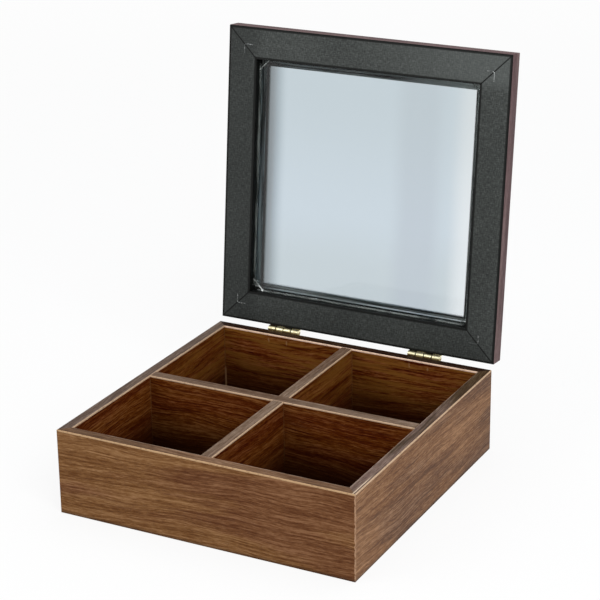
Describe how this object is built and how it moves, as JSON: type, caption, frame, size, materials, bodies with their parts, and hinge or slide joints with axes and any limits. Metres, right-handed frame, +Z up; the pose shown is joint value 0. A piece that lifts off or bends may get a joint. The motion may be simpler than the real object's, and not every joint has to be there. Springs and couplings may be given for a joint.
{
  "type": "tea bag organizer box",
  "caption": "Square wooden tea bag box with crossed dividers and a glazed lid on knuckled brass stop hinges at the back.",
  "frame": {"origin": "middle of the flat underside of the box", "axes": "+X to the right seen from the front, +Y towards the hinged back, +Z up; the lid stands open against its stops"},
  "size_m": [0.18, 0.2123, 0.2312],
  "materials": {
    "board": "walnut grain foil on fibreboard, satin",
    "edge_band": "printed grain edge strip with a pale core, satin",
    "lid_frame": "near-black painted underside, brown wood-look foil outside",
    "pane": "clear, polished",
    "clear_glue": "clear glue, glossy",
    "hinge_brass": "brass plated, polished",
    "nail_steel": "bright steel"
  },
  "bodies": {
    "box": {"front_wall": "board", "back_wall": "board", "left_wall": "board", "right_wall": "board", "front_band": "edge_band", "back_band": "edge_band", "left_band": "edge_band", "right_band": "edge_band", "base_panel": "board", "long_divider": "board", "long_divider_band": "edge_band", "cross_divider": "board", "cross_divider_band": "edge_band", "left_hinge_box_leaf": "hinge_brass", "right_hinge_box_leaf": "hinge_brass", "left_hinge_pin": "hinge_brass", "right_hinge_pin": "hinge_brass", "left_box_screws": "hinge_brass", "right_box_screws": "hinge_brass"},
    "lid": {"lid_front_rail": "lid_frame", "lid_back_rail": "lid_frame", "lid_left_rail": "lid_frame", "lid_right_rail": "lid_frame", "v_nails": "nail_steel", "lid_pane": "pane", "pane_bead": "clear_glue", "left_hinge_lid_leaf": "hinge_brass", "right_hinge_lid_leaf": "hinge_brass", "left_lid_screws": "hinge_brass", "right_lid_screws": "hinge_brass"}
  },
  "joints": [
    {"name": "lid_hinge", "type": "hinge", "parent": "box", "child": "lid", "pos_m": [0, 0.092, 0.0502], "axis": [1, 0, 0], "range_deg": [0, 95.8]}
  ]
}
